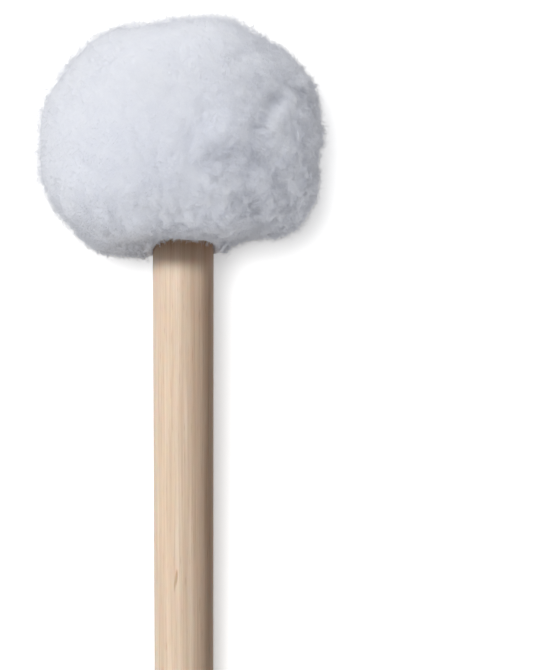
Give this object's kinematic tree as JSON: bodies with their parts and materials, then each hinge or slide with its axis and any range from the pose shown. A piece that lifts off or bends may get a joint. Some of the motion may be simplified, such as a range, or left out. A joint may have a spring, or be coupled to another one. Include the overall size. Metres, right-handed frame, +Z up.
{
  "type": "bass drum mallet",
  "caption": "Soft-headed bass drum mallet lying on its side: a lumpy white fleece head over a felt and wood core, on a turned wooden shaft that swells towards its rounded butt.",
  "frame": {"origin": "on the table that the mallet lies on, under the middle of its width and length", "axes": "+Y from the butt towards the head, +Z up from the table, +X to the right; the shaft leans 4.3 degrees up towards the head"},
  "size_m": [0.0756, 0.3726, 0.0726],
  "materials": {
    "shaft_wood": "pale hickory under a thin clear satin lacquer",
    "core_wood": "turned hardwood, left raw",
    "zinc_steel": "zinc plated",
    "hard_felt": "pressed hard wool felt",
    "soft_felt": "loose soft felt",
    "white_fleece": "short curled white pile, matted into tufts",
    "cotton_cord": "twisted cotton"
  },
  "bodies": {
    "root": {"shaft": "shaft_wood", "head_core": "core_wood", "retaining_washer": "zinc_steel", "retaining_screw": "zinc_steel", "felt_wrap": "hard_felt", "upper_felt": "hard_felt", "lower_felt": "hard_felt", "liner": "soft_felt", "fleece_cover": "white_fleece", "drawstring": "cotton_cord"}
  },
  "joints": []
}
